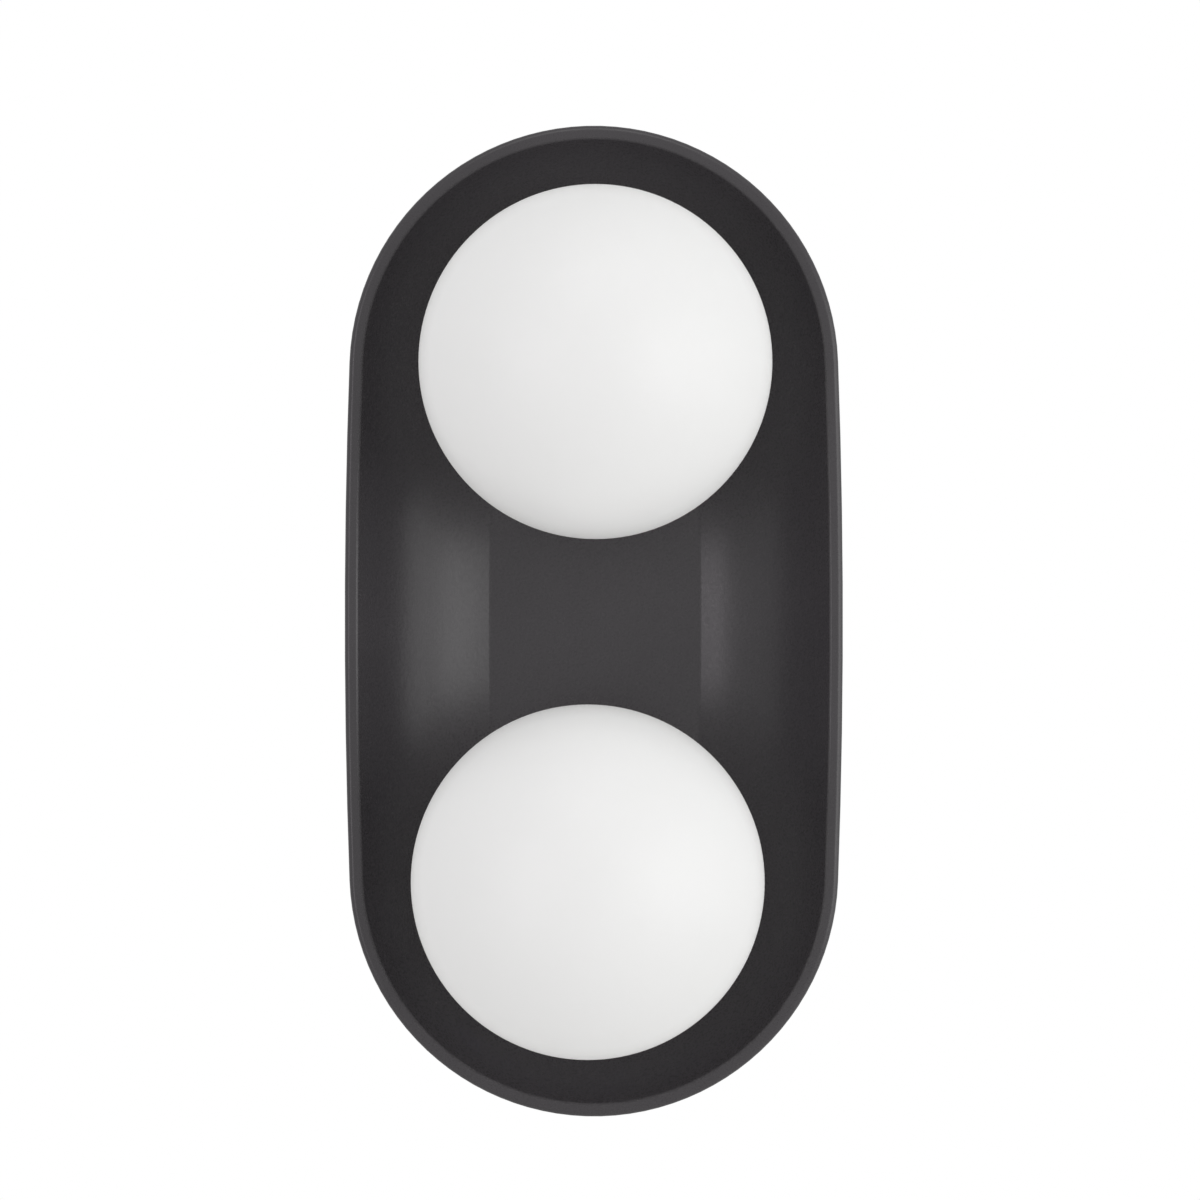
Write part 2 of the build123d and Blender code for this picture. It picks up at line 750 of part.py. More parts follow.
with BuildPart() as terminal_stud:
    with BuildSketch(wall_plane(block_face - m3_nut_thickness - stud_tail)):
        with Locations((0, pole_pitch / 2)):
            Circle(m3_radius)
    extrude(amount=pan_inside - block_face + m3_nut_thickness + stud_tail)
write(terminal_stud, "terminal_stud")

with BuildPart() as terminal_nut:
    with BuildSketch(wall_plane(block_face - m3_nut_thickness)):
        with Locations((0, pole_pitch / 2)):
            hexagon(m3_nut_flats)
            Circle(m3_radius + thread_clearance, mode=Mode.SUBTRACT)
    extrude(amount=m3_nut_thickness)
write(terminal_nut, "terminal_nut")

# ---------------------------------------------------------------- earth stud, washer, tag and nut
earth_place = (earth_stud_x, earth_stud_z)
with BuildPart() as earth_stud:
    stud_end = tag_face - m4_nut_thickness - stud_tail
    with BuildSketch(wall_plane(stud_end)):
        with Locations(earth_place):
            Circle(m4_radius)
    extrude(amount=pan_inside - stud_end)
write(earth_stud, "earth_stud")

with BuildPart() as earth_washer:
    with BuildSketch(wall_plane(tag_back)):
        with Locations(earth_place):
            Circle(m4_washer_radius)
            Circle(m4_radius + hole_clearance, mode=Mode.SUBTRACT)
            with PolarLocations(m4_washer_radius, washer_notches):
                Rectangle(washer_thickness, washer_thickness, mode=Mode.SUBTRACT)
    extrude(amount=washer_thickness)
write(earth_washer, "earth_washer")

barrel_top = earth_stud_z - m4_washer_radius - hole_clearance
barrel_end = barrel_top - tag_barrel_length
with BuildPart() as earth_tag:
    with BuildSketch(wall_plane(tag_face)):
        with Locations(earth_place):
            Circle(tag_radius)
        with Locations((earth_stud_x, barrel_top)):
            Rectangle(2 * tag_barrel_radius, 3 * tag_barrel_radius)
        with Locations(earth_place):
            Circle(m4_radius + hole_clearance, mode=Mode.SUBTRACT)
    extrude(amount=tag_sheet)
    with BuildSketch(Plane.XY.offset(barrel_end)):
        with Locations((earth_stud_x, -tag_barrel_depth)):
            Circle(tag_barrel_radius)
            Circle(wire_radius + thread_clearance, mode=Mode.SUBTRACT)
    extrude(amount=tag_barrel_length)
write(earth_tag, "earth_tag")

with BuildPart() as earth_nut:
    with BuildSketch(wall_plane(tag_face - m4_nut_thickness)):
        with Locations(earth_place):
            hexagon(m4_nut_flats)
            Circle(m4_radius + thread_clearance, mode=Mode.SUBTRACT)
    extrude(amount=m4_nut_thickness)
write(earth_nut, "earth_nut")

# ---------------------------------------------------------------- inner wires
# A route lists (sideways, depth, height). The lower lamp's wires are the upper ones turned half round.
lane_drop = end_centre / 4  # height that a wire takes to reach or leave its lane
clip_z = (end_centre + pole_pitch) / 2
solder_depth = cavity_front - contact_sheet - wire_radius


def lamp_wire_route(lane, pole):
    """Route from an upper contact through the nipple and down the pan to a pole, on one of two lanes."""
    lane_x = -wire_lane - lane * wire_pair
    return [
        (lane * pin_spacing / 2, solder_depth, end_centre),
        (0, nipple_front - 1, end_centre + lane * wire_pair),
        (0, nut_face - 3.5, end_centre + lane * wire_pair),
        (-8 - lane * wire_pair / 2, 5.2, end_centre - 8 + lane * wire_pair),
        (lane_x, lane_depth, end_centre - lane_drop + 2 * lane),
        (lane_x, lane_depth, pole + lane_drop),
        (-block_width / 2 - 5, pole_depth, pole),
        (-wire_end_x, pole_depth, pole),
    ]


EARTH_ROUTE = [
    (earth_stud_x, tag_barrel_depth, barrel_end + 5),
    (earth_stud_x, tag_barrel_depth, barrel_end - 3),
    (earth_stud_x - 4, tag_barrel_depth, 4),
    (earth_stud_x - 2.5, pole_depth, 0),
    (-wire_end_x, pole_depth, 0),
]
WIRES = {
    "upper_live_wire": (lamp_wire_route(-1, pole_pitch), 1),
    "upper_neutral_wire": (lamp_wire_route(1, -pole_pitch), 1),
    "lower_live_wire": (lamp_wire_route(1, -pole_pitch), -1),
    "lower_neutral_wire": (lamp_wire_route(-1, pole_pitch), -1),
    "earth_wire": (EARTH_ROUTE, 1),
}
for name, (route, half_turn) in WIRES.items():
    points = [(half_turn * x, -depth, half_turn * z) for x, depth, z in route]
    radii = bend_radii(points)
    with BuildPart() as wire:
        with BuildLine() as path:
            FilletPolyline(*points, radius=radii)
        with BuildSketch(Plane(origin=path.line @ 0, z_dir=path.line % 0)):
            Circle(wire_radius)
        sweep(path=path.line)
    write(wire, name)
    print(name, "volume over section", round(wire.part.volume / (pi * wire_radius**2), 1), end=" ")
    print("length", round(path.wires()[0].length, 1), "bend radii", [round(r, 1) for r in radii])

# Clips stuck to the pan hold each lamp's two wires side by side.
with BuildPart() as wire_clips:
    for side in (-1, 1):
        with BuildSketch(Plane.XY.offset(-side * clip_z - clip_length / 2)):
            clip_back = lane_depth - wire_radius - clip_wall
            with Locations((side * wire_lane, -(clip_back + pan_inside) / 2)):
                Rectangle(2 * (wire_pair + wire_radius + clip_wall), pan_inside - clip_back)
            for lane in (-1, 1):
                with Locations((side * (wire_lane + lane * wire_pair), -lane_depth)):
                    Circle(wire_radius + thread_clearance, mode=Mode.SUBTRACT)
        extrude(amount=clip_length)
write(wire_clips, "wire_clips")
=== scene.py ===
from math import atan2, cos, pi, radians, sin, sqrt

import bmesh
import bpy
from mathutils import Matrix, Vector


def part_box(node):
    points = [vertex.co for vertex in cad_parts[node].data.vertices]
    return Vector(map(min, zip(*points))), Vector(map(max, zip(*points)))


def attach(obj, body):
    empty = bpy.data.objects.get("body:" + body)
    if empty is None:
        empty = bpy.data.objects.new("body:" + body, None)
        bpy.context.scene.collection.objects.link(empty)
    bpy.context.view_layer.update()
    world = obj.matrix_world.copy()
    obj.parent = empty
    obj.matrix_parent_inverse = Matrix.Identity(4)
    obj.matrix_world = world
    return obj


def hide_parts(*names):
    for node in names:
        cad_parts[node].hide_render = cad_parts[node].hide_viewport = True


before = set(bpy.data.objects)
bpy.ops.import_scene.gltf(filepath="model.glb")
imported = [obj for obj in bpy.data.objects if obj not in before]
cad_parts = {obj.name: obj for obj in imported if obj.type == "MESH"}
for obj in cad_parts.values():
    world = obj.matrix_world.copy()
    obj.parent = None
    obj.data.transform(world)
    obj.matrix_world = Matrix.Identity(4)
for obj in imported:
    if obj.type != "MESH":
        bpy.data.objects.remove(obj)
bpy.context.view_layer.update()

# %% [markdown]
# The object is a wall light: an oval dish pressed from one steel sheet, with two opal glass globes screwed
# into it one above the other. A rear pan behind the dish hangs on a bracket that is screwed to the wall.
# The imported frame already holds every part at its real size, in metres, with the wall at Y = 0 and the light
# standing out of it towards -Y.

MM = 0.001

# %% [markdown]
# The camera stands about a metre in front of the light, a little above its middle and a shade to the right
# of it. A long lens keeps the oval nearly free of perspective. The distance and the lens together set how
# large the light is in the picture, and the three small offsets set where it stands in it. They are tuned
# values, which is why they aren't round.

# %% Camera
lip_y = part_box("reflector_dish")[0].y
camera_distance = 1.022  # from the camera to the dish's lip
camera_turn = radians(0.8)  # to the right of straight on
camera_height = 0.0074  # above the light's middle
aim_x = 0.0023  # the light's middle stands this far left of the picture's middle
lens_mm, sensor_mm = 87.45, 36.0
camera_data = bpy.data.cameras.new("camera")
camera_data.sensor_width = sensor_mm
camera_data.lens = lens_mm
camera = bpy.data.objects.new("camera", camera_data)
bpy.context.scene.collection.objects.link(camera)
camera.location = (
    aim_x * cos(camera_turn) + camera_distance * sin(camera_turn),
    lip_y + aim_x * sin(camera_turn) - camera_distance * cos(camera_turn),
    camera_height,
)
camera.rotation_euler = (pi / 2, 0, camera_turn)
bpy.context.scene.camera = camera
print("camera at", [round(value, 4) for value in camera.location])

# %% [markdown]
# Studio light for a dark, half-gloss oval. A narrow, faintly rosy soft box on the left and a broad one on the
# right throw one soft highlight each into the opposite coves. A third far out to the right catches the
# right rim, and a fourth above lights the tops of the globes. The room round them is pale, so that the coves
# never fall to black. The strengths are tuned together, so a change to one calls for a look at the rest.
# The paper behind the light is pure white to the camera. The world does both: a Light Path node gives the
# camera the paper and everything else the room.

# %% Lights and the white paper
def soft_box(name, azimuth, elevation, distance, width, height, power, color=(1.0, 1.0, 1.0)):
    """A soft box aimed at the light's middle, in metres; a positive azimuth is right of the camera."""
    light_data = bpy.data.lights.new(name, "AREA")
    light_data.shape = "RECTANGLE"
    light_data.size = width
    light_data.size_y = height
    light_data.energy = power
    light_data.color = color
    light = bpy.data.objects.new(name, light_data)
    bpy.context.scene.collection.objects.link(light)
    turn, lift = radians(azimuth), radians(elevation)
    back = Vector((sin(turn) * cos(lift), -cos(turn) * cos(lift), sin(lift)))
    light.location = back * distance
    light.rotation_euler = (-back).to_track_quat("-Z", "Y").to_euler()
    light.visible_camera = False
    print(name, "at", [round(value, 2) for value in light.location])


soft_box("soft_box_left", -35, 0, 1.5, 0.36, 1.0, 2.2, (1.0, 0.94, 1.0))
soft_box("soft_box_right", 43, 0, 1.5, 0.80, 1.0, 4.2)
soft_box("soft_box_side", 75, 0, 1.5, 0.8, 1.2, 2.8)
soft_box("soft_box_top", 0, 50, 1.6, 1.0, 0.8, 2.7)

room_light = 0.61
world = bpy.data.worlds.new("studio")
bpy.context.scene.world = world
world.use_nodes = True
world_nodes, world_links = world.node_tree.nodes, world.node_tree.links
world_nodes.clear()
room = world_nodes.new("ShaderNodeBackground")
room.inputs["Strength"].default_value = room_light
paper = world_nodes.new("ShaderNodeBackground")
paper.inputs["Strength"].default_value = 1.0
for backdrop in (room, paper):
    backdrop.inputs["Color"].default_value = (1, 1, 1, 1)
light_path = world_nodes.new("ShaderNodeLightPath")
which = world_nodes.new("ShaderNodeMixShader")
world_out = world_nodes.new("ShaderNodeOutputWorld")
world_links.new(light_path.outputs["Is Camera Ray"], which.inputs["Fac"])
world_links.new(room.outputs["Background"], which.inputs[1])
world_links.new(paper.outputs["Background"], which.inputs[2])
world_links.new(which.outputs["Shader"], world_out.inputs["Surface"])
bpy.context.scene.view_settings.view_transform = "Standard"

# %% [markdown]
# Every finish below is built from nodes on Object coordinates, so a pattern has a real size: a noise whose
# scale is 1000 over a size in millimetres has blotches about that size. Eight small helpers keep each
# finish's own cell short: a new material, a node, a link, the coordinates, a noise, a value spread from a
# pattern, a colour between two tints, and a relief that bends the normal.

# %% Helpers for finishes
finishes = {}


def new_finish(name, roughness, metallic=0.0):
    """A material with a Principled shader, kept in finishes by its slot name."""
    material = bpy.data.materials.new(name)
    material.use_nodes = True
    shader = material.node_tree.nodes["Principled BSDF"]
    shader.inputs["Roughness"].default_value = roughness
    shader.inputs["Metallic"].default_value = metallic
    finishes[name] = material
    return material, shader


def add_node(material, kind, **settings):
    """A new shader node; inputs gives values to its inputs, and any other setting is a property."""
    node = material.node_tree.nodes.new("ShaderNode" + kind)
    for key, value in settings.pop("inputs", {}).items():
        node.inputs[key].default_value = value
    for key, value in settings.items():
        setattr(node, key, value)
    return node


def join(material, output, into):
    material.node_tree.links.new(output, into)


def place(material, stretch=(1, 1, 1)):
    """Object coordinates in metres, scaled along X, Y and Z."""
    coordinates = add_node(material, "TexCoord")
    mapping = add_node(material, "Mapping", inputs={"Scale": stretch})
    join(material, coordinates.outputs["Object"], mapping.inputs["Vector"])
    return mapping.outputs["Vector"]


def noise(material, size_mm, detail=2.0, where=None):
    """A noise with blotches of about this size; gives its factor, from 0 to 1."""
    texture = add_node(material, "TexNoise", inputs={"Scale": 1000 / size_mm, "Detail": detail})
    join(material, where or place(material), texture.inputs["Vector"])
    return texture.outputs["Fac"]


def spread(material, factor, low, high, start=0.3, end=0.7):
    """A value that goes from low to high while the factor goes from start to end."""
    ranger = add_node(material, "MapRange")
    ranger.inputs["From Min"].default_value = start
    ranger.inputs["From Max"].default_value = end
    ranger.inputs["To Min"].default_value = low
    ranger.inputs["To Max"].default_value = high
    join(material, factor, ranger.inputs["Value"])
    return ranger.outputs["Result"]


def blend_colors(material, factor, first, second):
    """A colour between two, by a factor; either can be a colour or another node's output."""
    mixer = add_node(material, "Mix", data_type="RGBA")
    join(material, factor, mixer.inputs["Factor"])
    for socket, color in (("A", first), ("B", second)):
        socket = [i for i in mixer.inputs if i.name == socket and i.type == "RGBA"][0]
        if isinstance(color, tuple):
            socket.default_value = (*color, 1)
        else:
            join(material, color, socket)
    return [o for o in mixer.outputs if o.type == "RGBA"][0]


def relief(material, height, depth_mm, strength=1.0, under=None):
    """A bump from a height pattern, this many millimetres deep, over another bump if one is given."""
    bump = add_node(material, "Bump", inputs={"Distance": depth_mm * MM, "Strength": strength})
    join(material, height, bump.inputs["Height"])
    if under:
        join(material, under, bump.inputs["Normal"])
    return bump.outputs["Normal"]


print("helpers ready")

# %% [markdown]
# A pale round floor stands well below the light, as a studio table would. It is small enough to stay under
# the lower edge of the front view.

# %% Floor
bpy.ops.object.select_all(action="DESELECT")
floor_z, floor_radius = -0.36, 0.62
bpy.ops.mesh.primitive_circle_add(
    vertices=96, radius=floor_radius, fill_type="NGON", location=(0, 0, floor_z),
)
floor = bpy.context.object
floor.name = "floor"
paint, shader = new_finish("floor_paint", 0.6)
join(paint, blend_colors(paint, noise(paint, 90), (0.80, 0.80, 0.79), (0.84, 0.84, 0.83)),
     shader.inputs["Base Color"])
floor.data.materials.append(paint)
print("floor at", floor_z)

# %% [markdown]
# The dish, the pan and the cups are powder coated in a soft black. The powder melts into a skin with a faint
# orange peel, about a millimetre from bump to bump, over the gentle waves of the pressed sheet. A few grains
# of dust are caught in it. Noise gives the peel and the waves as relief, a finer noise breaks up the gloss,
# and a Voronoi pattern scatters the dust: its cells are wide apart, only the rare bright cells carry a
# speck, and the speck is the small disc round the cell's centre.

# %% Powder coat
dust_spacing_mm = 11
wave_mm, wave_depth_mm = 14, 0.03
peel_depth_mm = 0.045


def powder_coat(name, color, roughness, peel_mm):
    material, shader = new_finish(name, roughness)
    light_tone = tuple(channel * 1.16 for channel in color)
    dark_tone = tuple(channel * 0.86 for channel in color)
    tone = blend_colors(material, noise(material, 45), dark_tone, light_tone)
    cells = add_node(material, "TexVoronoi", inputs={"Scale": 1000 / dust_spacing_mm})
    join(material, place(material), cells.inputs["Vector"])
    disc = spread(material, cells.outputs["Distance"], 1.0, 0.0, 0.015, 0.03)
    cell_color = add_node(material, "SeparateColor")
    join(material, cells.outputs["Color"], cell_color.inputs["Color"])
    rare = spread(material, cell_color.outputs["Red"], 0.0, 0.6, 0.86, 0.9)
    speck = add_node(material, "Math", operation="MULTIPLY")
    join(material, disc, speck.inputs[0])
    join(material, rare, speck.inputs[1])
    coat = blend_colors(material, speck.outputs["Value"], tone, (0.3, 0.29, 0.28))
    join(material, coat, shader.inputs["Base Color"])
    gloss = spread(material, noise(material, 0.9, 3), roughness - 0.05, roughness + 0.05)
    join(material, gloss, shader.inputs["Roughness"])
    waves = relief(material, noise(material, wave_mm, 1), wave_depth_mm)
    peel = relief(material, noise(material, peel_mm, 2), peel_depth_mm, under=waves)
    join(material, peel, shader.inputs["Normal"])
    print(name, "with", len(material.node_tree.nodes), "nodes")


powder_coat("dish_black", (0.050, 0.046, 0.050), 0.29, 1.7)
powder_coat("pan_black", (0.040, 0.037, 0.040), 0.34, 1.2)
powder_coat("cup_black", (0.036, 0.033, 0.036), 0.32, 1.0)

# %% [markdown]
# The globes are opal glass with a satin skin. Light goes into it, scatters, and comes out a little further
# on, so the globe looks evenly bright. Subsurface scattering does that: light even crosses the 2.5 mm wall
# and fills the globe's inside. Its edge is a tone darker by painted shade, which a Layer Weight node puts
# where the surface turns away from the view. Under these lights the scattering alone leaves the white too
# grey, so a faint emission lifts it. That is a tuned value and not a lamp: for a light that is switched on,
# the lamps inside would be given the emission. Blown glass is never quite even, so a broad noise shifts its
# white a little, and a fine one gives the etched skin its grain.

# %% Opal glass
opal, shader = new_finish("opal_glass", 0.46)
shader.inputs["Subsurface Weight"].default_value = 1.0
shader.inputs["Subsurface Radius"].default_value = (1.0, 1.0, 1.0)
shader.inputs["Subsurface Scale"].default_value = 10 * MM
shader.inputs["Emission Color"].default_value = (1.0, 1.0, 0.99, 1)
shader.inputs["Emission Strength"].default_value = 0.115
shader.inputs["IOR"].default_value = 1.5
milk = blend_colors(opal, noise(opal, 38, 1), (0.845, 0.845, 0.838), (0.868, 0.868, 0.862))
# Painted shade: the glass colour darkens to grey towards the globe's edge, where the surface turns away from
# the view.
rim = add_node(opal, "LayerWeight", inputs={"Blend": 0.28})
painted_edge_shade = spread(opal, rim.outputs["Facing"], 0.0, 1.0, 0.45, 0.95)
milk_and_painted_edge_shade = blend_colors(opal, painted_edge_shade, milk, (0.62, 0.62, 0.61))
join(opal, milk_and_painted_edge_shade, shader.inputs["Base Color"])
join(opal, spread(opal, noise(opal, 0.6), 0.42, 0.5), shader.inputs["Roughness"])
blown = relief(opal, noise(opal, 30, 1), 0.05)
join(opal, relief(opal, noise(opal, 0.5, 2), 0.004, under=blown), shader.inputs["Normal"])
print("opal glass ready")

# %% [markdown]
# The metals differ in colour, in how rough they are and in what marks them. Zinc plate on steel shows broad
# flakes and fine rub marks; a blackened screw is dark with a sheen, and its edges have rubbed to bare steel;
# brass is turned, so its marks run round; tinned copper is dull and a little blotchy. One helper makes them
# all: a colour between two tones over blotches, a roughness that varies over finer ones, and scratches,
# which are a noise stretched out along one axis. Rubbed edges come from the Bevel node: where the rounded
# normal leaves the true one, there is an edge.

# %% Metals
def metal(name, dark, light, roughness, blotch_mm, scratch=(1, 1, 6), bare=None):
    material, shader = new_finish(name, roughness, 1.0)
    tone = blend_colors(material, noise(material, blotch_mm, 3), dark, light)
    if bare:
        rounded = add_node(material, "Bevel", samples=4, inputs={"Radius": 0.25 * MM})
        true_face = add_node(material, "NewGeometry")
        closeness = add_node(material, "VectorMath", operation="DOT_PRODUCT")
        join(material, rounded.outputs["Normal"], closeness.inputs[0])
        join(material, true_face.outputs["Normal"], closeness.inputs[1])
        rubbed = spread(material, closeness.outputs["Value"], 0.8, 0.0, 0.86, 0.98)
        tone = blend_colors(material, rubbed, tone, bare)
    join(material, tone, shader.inputs["Base Color"])
    marks = noise(material, 0.35, 2, place(material, tuple(1 / s for s in scratch)))
    gloss = spread(material, marks, roughness - 0.08, roughness + 0.1)
    join(material, gloss, shader.inputs["Roughness"])
    join(material, relief(material, marks, 0.006), shader.inputs["Normal"])


metal("zinc_steel", (0.52, 0.52, 0.49), (0.68, 0.68, 0.67), 0.34, 5)
metal("black_steel", (0.030, 0.030, 0.034), (0.055, 0.055, 0.06), 0.4, 3, (4, 1, 1), (0.42, 0.42, 0.43))
metal("brass", (0.66, 0.46, 0.20), (0.80, 0.60, 0.30), 0.3, 4, (1, 3, 1), (0.88, 0.70, 0.40))
metal("tinned_copper", (0.60, 0.59, 0.57), (0.76, 0.75, 0.74), 0.42, 1.5)
print("metals ready")

# %% [markdown]
# What is neither coat, glass nor metal is moulded or fired: black rubber in the cable bush, silicone in the
# seals, steatite in the lampholders, nylon in the terminal block, white plastic and frosted covers on the
# lamps. They differ in how much light they let in and in the grain of the mould, so one helper again takes
# two tones, the gloss, the grain and the softness.

# %% Mouldings
def moulding(name, dark, light, roughness, grain_mm, grain_deep, softness=0.0, blotch_mm=12):
    material, shader = new_finish(name, roughness)
    tone = blend_colors(material, noise(material, blotch_mm, 3), dark, light)
    join(material, tone, shader.inputs["Base Color"])
    if softness:
        shader.inputs["Subsurface Weight"].default_value = 1.0
        shader.inputs["Subsurface Radius"].default_value = (1.0, 1.0, 1.0)
        shader.inputs["Subsurface Scale"].default_value = softness * MM
    grain = noise(material, grain_mm, 3)
    join(material, spread(material, grain, roughness - 0.07, roughness + 0.07), shader.inputs["Roughness"])
    join(material, relief(material, grain, grain_deep), shader.inputs["Normal"])


moulding("black_rubber", (0.014, 0.014, 0.014), (0.030, 0.030, 0.030), 0.72, 0.35, 0.02)
moulding("silicone", (0.66, 0.66, 0.63), (0.74, 0.74, 0.71), 0.5, 0.5, 0.01, softness=1.5)
moulding("ceramic", (0.70, 0.67, 0.60), (0.80, 0.78, 0.72), 0.55, 0.3, 0.02, softness=0.4, blotch_mm=3)
moulding("nylon", (0.70, 0.69, 0.64), (0.78, 0.77, 0.73), 0.45, 0.4, 0.015, softness=1.0)
moulding("bulb_white", (0.78, 0.78, 0.76), (0.84, 0.84, 0.82), 0.34, 0.6, 0.008, softness=0.5)
moulding("bulb_frost", (0.82, 0.81, 0.76), (0.88, 0.87, 0.83), 0.5, 0.3, 0.01, softness=2.0)
print("mouldings ready")

# %% [markdown]
# The lamps' boards are white lacquer with the copper tracks showing through as faint raised lines, and the
# chips on them are drops of yellow phosphor. A Wave pattern in bands gives the tracks, and a fine noise
# gives the phosphor its grain.

# %% Lamp boards and chips
board, shader = new_finish("board_white", 0.38)
tracks = add_node(board, "TexWave", bands_direction="X", inputs={"Scale": 90.0, "Distortion": 0.4})
join(board, place(board), tracks.inputs["Vector"])
track = spread(board, tracks.outputs["Fac"], 0.0, 1.0, 0.6, 0.75)
join(board, blend_colors(board, track, (0.80, 0.80, 0.78), (0.70, 0.71, 0.66)), shader.inputs["Base Color"])
join(board, relief(board, track, 0.03), shader.inputs["Normal"])
chip, shader = new_finish("chip_yellow", 0.5)
phosphor = noise(chip, 0.25, 3)
join(chip, blend_colors(chip, phosphor, (0.72, 0.44, 0.05), (0.90, 0.62, 0.10)), shader.inputs["Base Color"])
join(chip, relief(chip, phosphor, 0.02), shader.inputs["Normal"])
print("boards ready")

# %% [markdown]
# The wires are brown for live, blue for neutral, and green and yellow for earth. The earth wire's two
# colours run round it as slanting stripes, so a band pattern on a slant is split sharply in two. All three
# have the waxy gloss of silicone insulation and the faint ripple of the strands inside.

# %% Wires
def wire_finish(name, first, second, split=None):
    material, shader = new_finish(name, 0.42)
    factor = noise(material, 3, 2)
    if split:
        stripes = add_node(material, "TexWave", bands_direction="DIAGONAL", inputs={"Scale": split})
        join(material, place(material), stripes.inputs["Vector"])
        factor = spread(material, stripes.outputs["Fac"], 0.0, 1.0, 0.52, 0.6)
    join(material, blend_colors(material, factor, first, second), shader.inputs["Base Color"])
    strands = noise(material, 0.5, 2, place(material, (1, 1, 0.25)))
    join(material, spread(material, strands, 0.36, 0.5), shader.inputs["Roughness"])
    join(material, relief(material, strands, 0.02), shader.inputs["Normal"])


wire_finish("wire_brown", (0.115, 0.045, 0.020), (0.150, 0.062, 0.030))
wire_finish("wire_blue", (0.018, 0.085, 0.33), (0.030, 0.12, 0.42))
wire_finish("wire_green", (0.03, 0.23, 0.05), (0.72, 0.62, 0.04), split=70.0)
print("wires ready")

# %% [markdown]
# Each CAD node already names the finish it takes, in its material slot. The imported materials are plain, so
# each slot gets the finish of the same name, and a node with several slots would get several.

# %% Finishes onto the CAD nodes
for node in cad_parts.values():
    for slot in node.material_slots:
        slot.material = finishes[slot.material.name.split(".")[0]]
print("finished", len(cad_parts), "nodes with", len(finishes), "finishes")

# %% [markdown]
# New pieces are modelled as by hand: a primitive is added at its size and place, and is then shaped in edit
# mode. Operators act on whatever is selected, so the first helpers clear the selection and select faces by
# a test on their middle and normal. The next ones finish a piece: they apply its modifiers and its place,
# round off its shading, and give it its finish and its body. The last two copy a piece with its own mesh
# and read a CAD node's box in millimetres.

# %% Helpers for modelling
def clear_selection():
    if bpy.context.object and bpy.context.object.mode == "EDIT":
        bpy.ops.object.mode_set(mode="OBJECT")
    bpy.ops.object.select_all(action="DESELECT")


def select_faces(piece, test):
    """In edit mode, selects the faces whose middle and normal, in the piece's own frame, pass the test."""
    bpy.ops.mesh.select_mode(type="FACE")
    bpy.ops.mesh.select_all(action="DESELECT")
    mesh = bmesh.from_edit_mesh(piece.data)
    for face in mesh.faces:
        face.select_set(bool(test(face.calc_center_median(), face.normal)))
    mesh.select_flush_mode()
    bmesh.update_edit_mesh(piece.data)
    return sum(face.select for face in mesh.faces)


def apply_place(piece):
    """Puts a piece's place, turn and scale into its mesh, and leaves the object at the origin."""
    clear_selection()
    piece.select_set(True)
    bpy.context.view_layer.objects.active = piece
    bpy.ops.object.transform_apply(location=True, rotation=True, scale=True)


def apply_modifiers(piece):
    bpy.context.view_layer.objects.active = piece
    for modifier in list(piece.modifiers):
        bpy.ops.object.modifier_apply(modifier=modifier.name)


def smooth(piece, angle=35):
    """Applies a piece's modifiers and place, and shades it smooth up to this angle."""
    clear_selection()
    apply_modifiers(piece)
    apply_place(piece)
    bpy.ops.object.shade_smooth_by_angle(angle=radians(angle))
    return piece


def hang(piece, name, body, slot, *replaced):
    """Names a finished piece, gives it its finish, and hangs it on its body."""
    piece.name = piece.data.name = name
    piece.data.materials.clear()
    piece.data.materials.append(finishes[slot])
    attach(piece, body)
    if replaced:
        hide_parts(*replaced)
    corners = [[vertex.co[axis] / MM for vertex in piece.data.vertices] for axis in range(3)]
    box = "  ".join(f"{min(side):.1f}..{max(side):.1f}" for side in corners)
    print(f"{name}: {len(piece.data.polygons)} faces, {box} mm")


def copy_with(piece, *moves):
    """A copy with its own mesh, moved by these matrices, the first one first."""
    copy = piece.copy()
    copy.data = piece.data.copy()
    bpy.context.scene.collection.objects.link(copy)
    for move in moves:
        copy.data.transform(move)
    return copy


def node_box(name):
    """A CAD node's low and high corners in millimetres."""
    low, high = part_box(name)
    return low / MM, high / MM


# %% [markdown]
# A screw thread is a V that climbs as it turns. A four-cornered circle is already a diamond: without its
# inner corner it is one V of the thread. The Screw modifier turns it round the axis once for each pitch and
# lifts it by the pitch, and the turns are welded into one skin. Two cuts square to the axis then give it
# flat, closed ends. The same skin serves the nipples, the studs and the lock screws.

# %% A threaded rod along Y
steps_in_a_turn = 32


